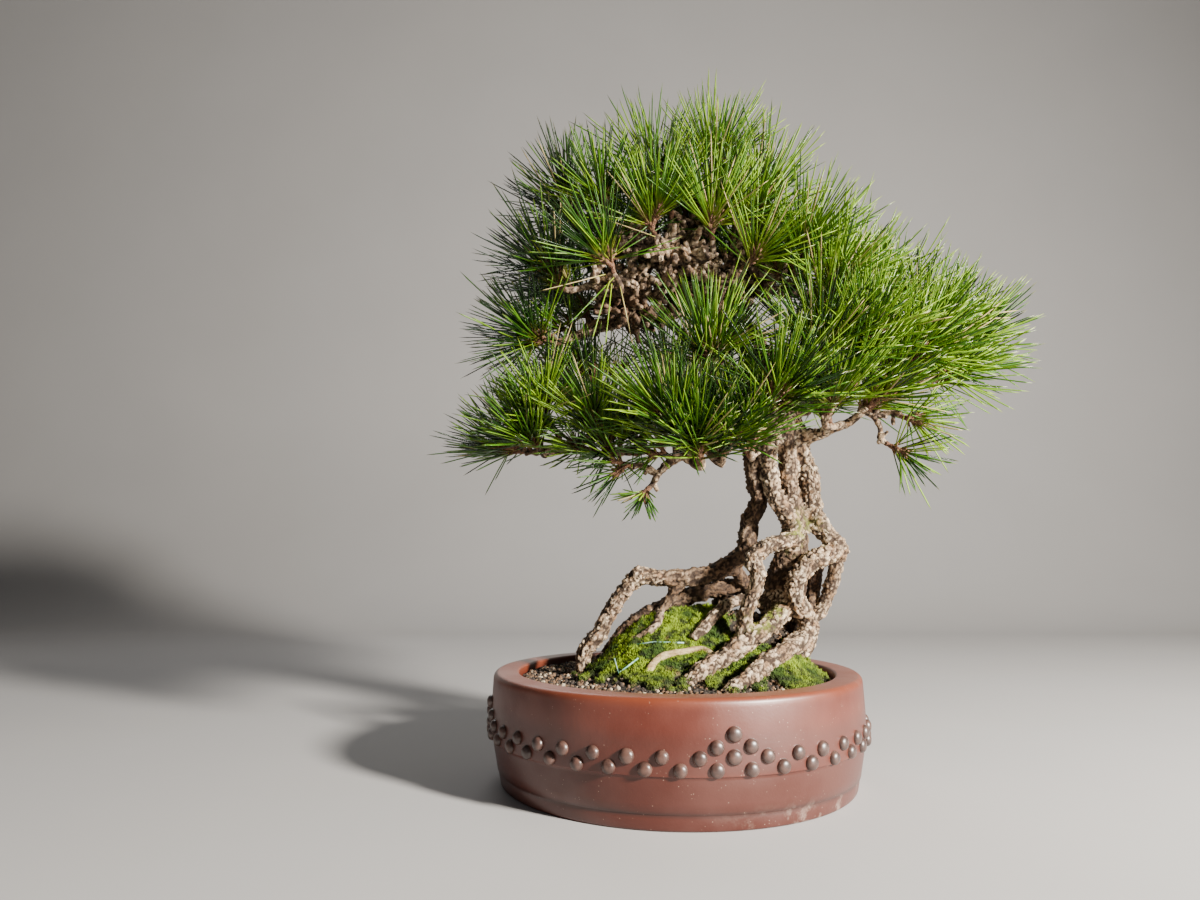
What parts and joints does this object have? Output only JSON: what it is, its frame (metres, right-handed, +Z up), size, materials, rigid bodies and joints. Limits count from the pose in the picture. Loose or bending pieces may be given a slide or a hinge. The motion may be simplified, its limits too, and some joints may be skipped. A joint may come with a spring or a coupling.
{
  "type": "potted japanese black pine bonsai",
  "caption": "Exposed-root black pine bonsai in a round studded stoneware pot, with a twisted root trunk, upswept needle pads and a mossy soil mound.",
  "frame": {"origin": "middle of the pot's flat underside, on the surface it stands on", "axes": "+Z up, -Y towards the front of the tree, +X to the viewer's right"},
  "size_m": [0.6197, 0.4, 0.6893],
  "materials": {
    "stoneware": "satin",
    "screen_plastic": "matte",
    "soil": "matte",
    "moss": "matte",
    "bark": "matte",
    "needles": "satin",
    "wire": "satin"
  },
  "bodies": {
    "root": {"pot": "stoneware", "drain_screen_1": "screen_plastic", "drain_screen_2": "screen_plastic", "drain_screen_3": "screen_plastic", "soil": "soil", "moss_1": "moss", "moss_2": "moss", "tree_wood": "bark", "needle_spray_01": "needles", "needle_spray_02": "needles", "needle_spray_03": "needles", "needle_spray_04": "needles", "needle_spray_05": "needles", "needle_spray_06": "needles", "needle_spray_07": "needles", "needle_spray_08": "needles", "needle_spray_09": "needles", "needle_spray_10": "needles", "needle_spray_11": "needles", "needle_spray_12": "needles", "needle_spray_13": "needles", "needle_spray_14": "needles", "needle_spray_15": "needles", "needle_spray_16": "needles", "needle_spray_17": "needles", "needle_spray_18": "needles", "needle_spray_19": "needles", "needle_spray_20": "needles", "needle_spray_21": "needles", "needle_spray_22": "needles", "needle_spray_23": "needles", "needle_spray_24": "needles", "needle_spray_25": "needles", "needle_spray_26": "needles", "needle_spray_27": "needles", "needle_spray_28": "needles", "needle_spray_29": "needles", "needle_spray_30": "needles", "needle_spray_31": "needles", "needle_spray_32": "needles", "needle_spray_33": "needles", "needle_spray_34": "needles", "needle_spray_35": "needles", "needle_spray_36": "needles", "needle_spray_37": "needles", "needle_spray_38": "needles", "needle_spray_39": "needles", "needle_spray_40": "needles", "needle_spray_41": "needles", "needle_spray_42": "needles", "needle_spray_43": "needles", "needle_spray_44": "needles", "needle_spray_45": "needles", "needle_spray_46": "needles", "needle_spray_47": "needles", "needle_spray_48": "needles", "anchor_wire_1": "wire", "anchor_wire_2": "wire"}
  },
  "joints": []
}
